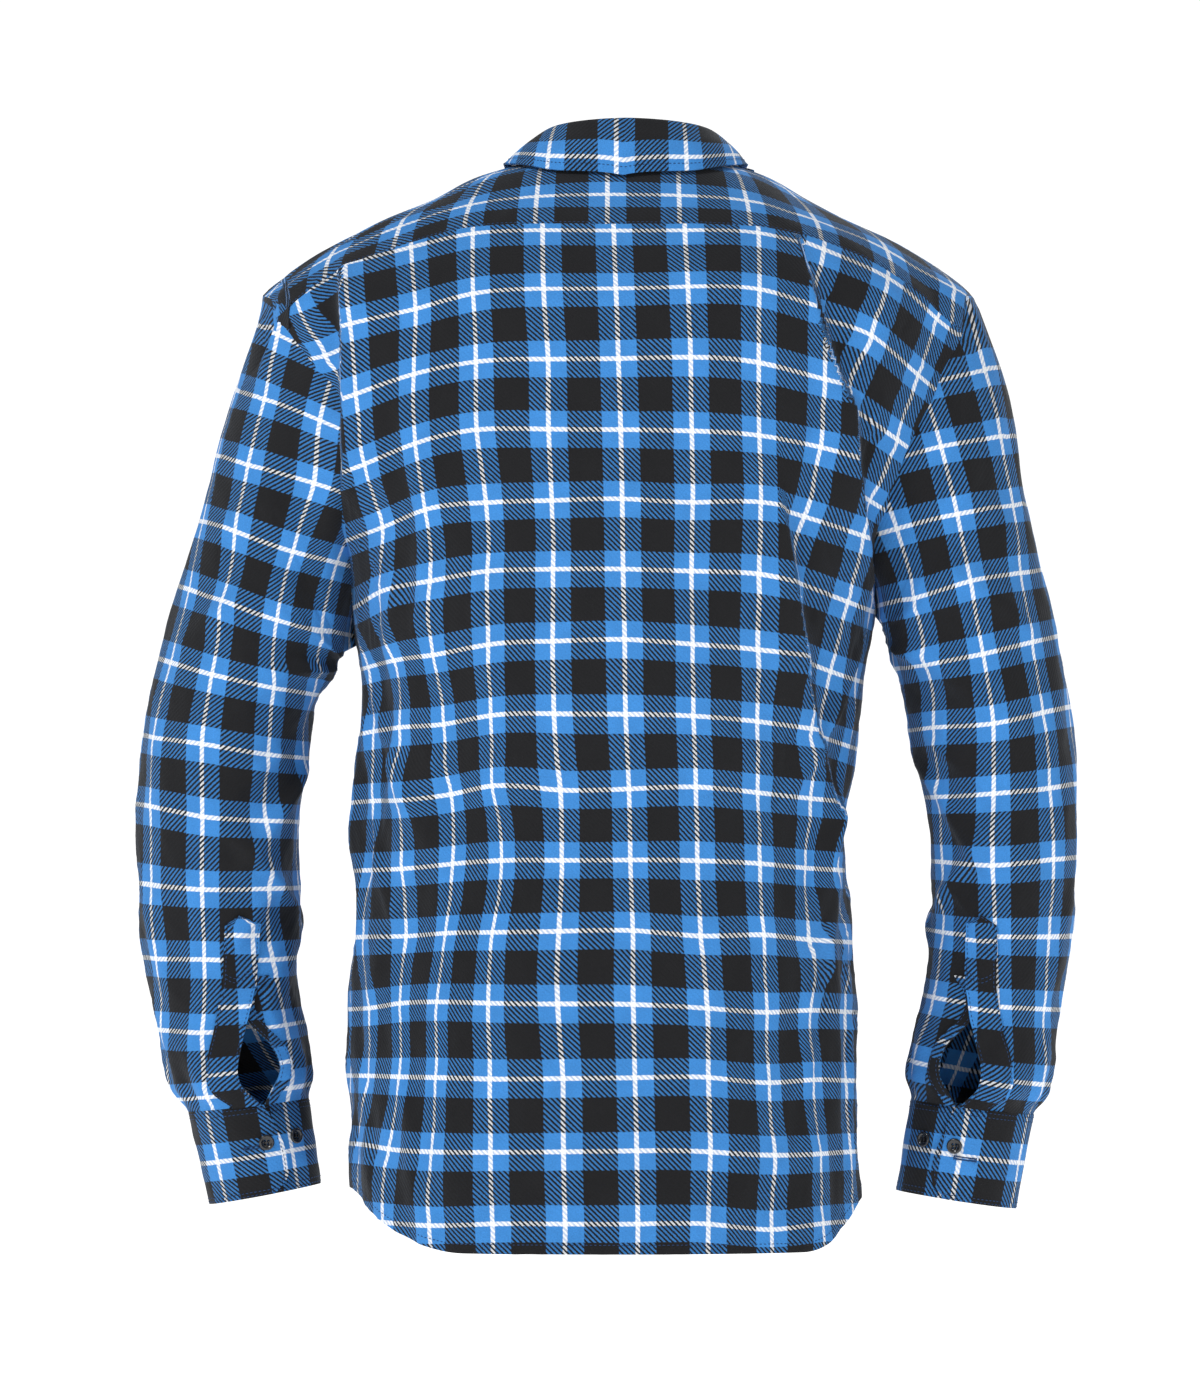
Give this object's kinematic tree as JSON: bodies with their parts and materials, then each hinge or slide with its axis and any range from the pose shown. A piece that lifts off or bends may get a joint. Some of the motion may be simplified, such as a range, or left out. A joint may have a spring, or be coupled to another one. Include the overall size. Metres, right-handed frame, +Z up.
{
  "type": "flannel shirt",
  "caption": "Long-sleeved button-up check flannel shirt, filled out as worn with its arms hanging, shirt-tail hem, fold-over collar and buttoned cuffs.",
  "frame": {"origin": "middle of the neck opening, level with the tops of the shoulders at the neck", "axes": "+Z up along the wearer's body, -Y towards the shirt's front, +Y towards its back, +X towards the wearer's left"},
  "size_m": [0.669, 0.2739, 0.8056],
  "materials": {
    "flannel": "brushed cotton twill flannel in a blue, black and white check",
    "trim": "the same flannel, doubled and topstitched",
    "button": "glossy black, with a raised rim"
  },
  "bodies": {
    "root": {"back": "flannel", "yoke": "flannel", "front_left": "flannel", "front_right": "flannel", "sleeve_left": "flannel", "sleeve_right": "flannel", "collar_stand": "trim", "collar_fall": "trim", "sleeve_placket_left": "trim", "sleeve_placket_right": "trim", "slit_binding_left": "trim", "slit_binding_right": "trim", "cuff_left": "trim", "cuff_right": "trim", "cuff_button_fastened_left": "button", "cuff_button_spare_left": "button", "cuff_button_fastened_right": "button", "cuff_button_spare_right": "button", "front_button_1": "button", "front_button_2": "button", "front_button_3": "button", "front_button_4": "button", "front_button_5": "button", "front_button_6": "button", "collar_button": "button"}
  },
  "joints": []
}
